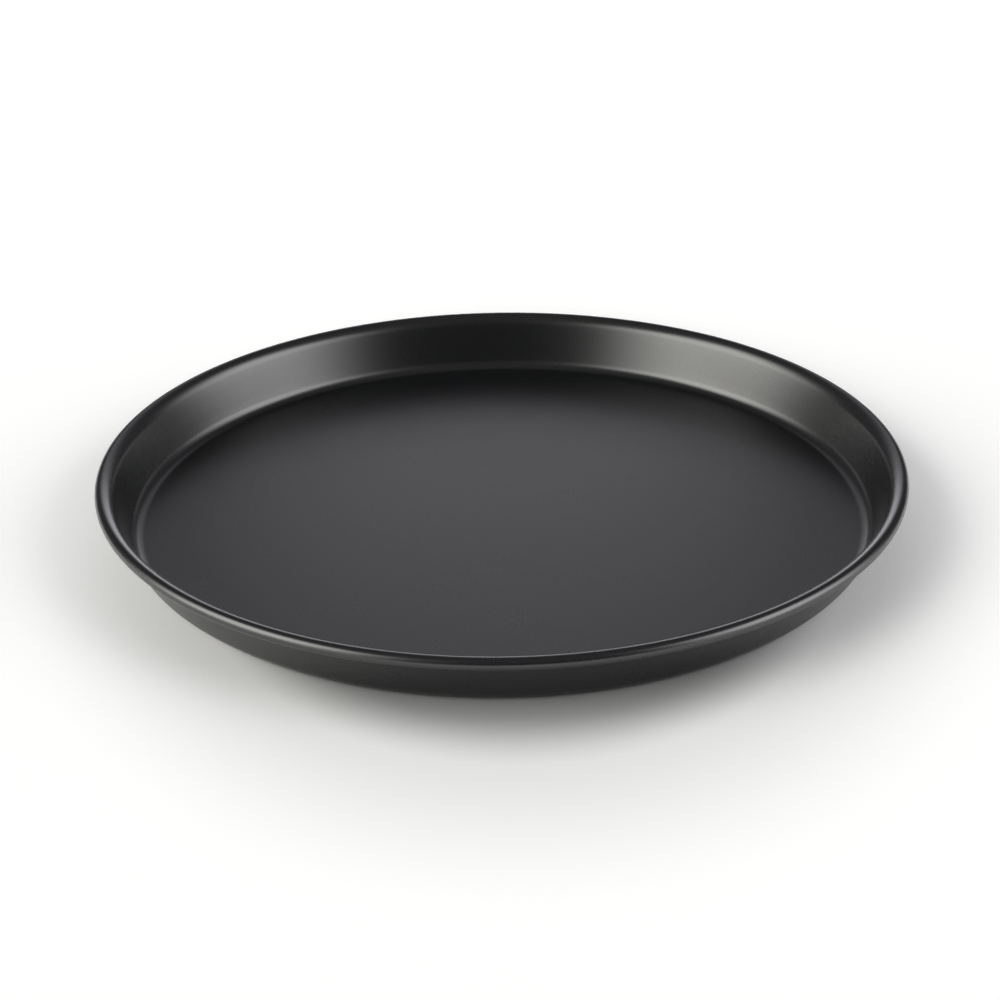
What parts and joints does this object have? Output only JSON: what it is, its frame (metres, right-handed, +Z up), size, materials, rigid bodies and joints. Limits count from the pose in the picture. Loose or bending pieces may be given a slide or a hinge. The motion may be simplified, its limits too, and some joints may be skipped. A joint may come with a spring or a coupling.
{
  "type": "pizza pan",
  "caption": "Round shallow steel baking pan with a flat floor, flared wall and a rolled rim stiffened by a steel wire.",
  "frame": {"origin": "centre of the base's underside, on the surface that the pan stands on", "axes": "+Z up along the pan's axis, out of its open side; the pan is round, so +X and +Y are free"},
  "size_m": [0.32, 0.32, 0.0236],
  "materials": {
    "dark_steel_sheet": "dark satin baked-on finish on pressed steel, smooth, with a soft sheen",
    "steel_wire": "plain drawn steel wire"
  },
  "bodies": {
    "root": {"pressed_pan": "dark_steel_sheet", "rim_wire": "steel_wire"}
  },
  "joints": []
}
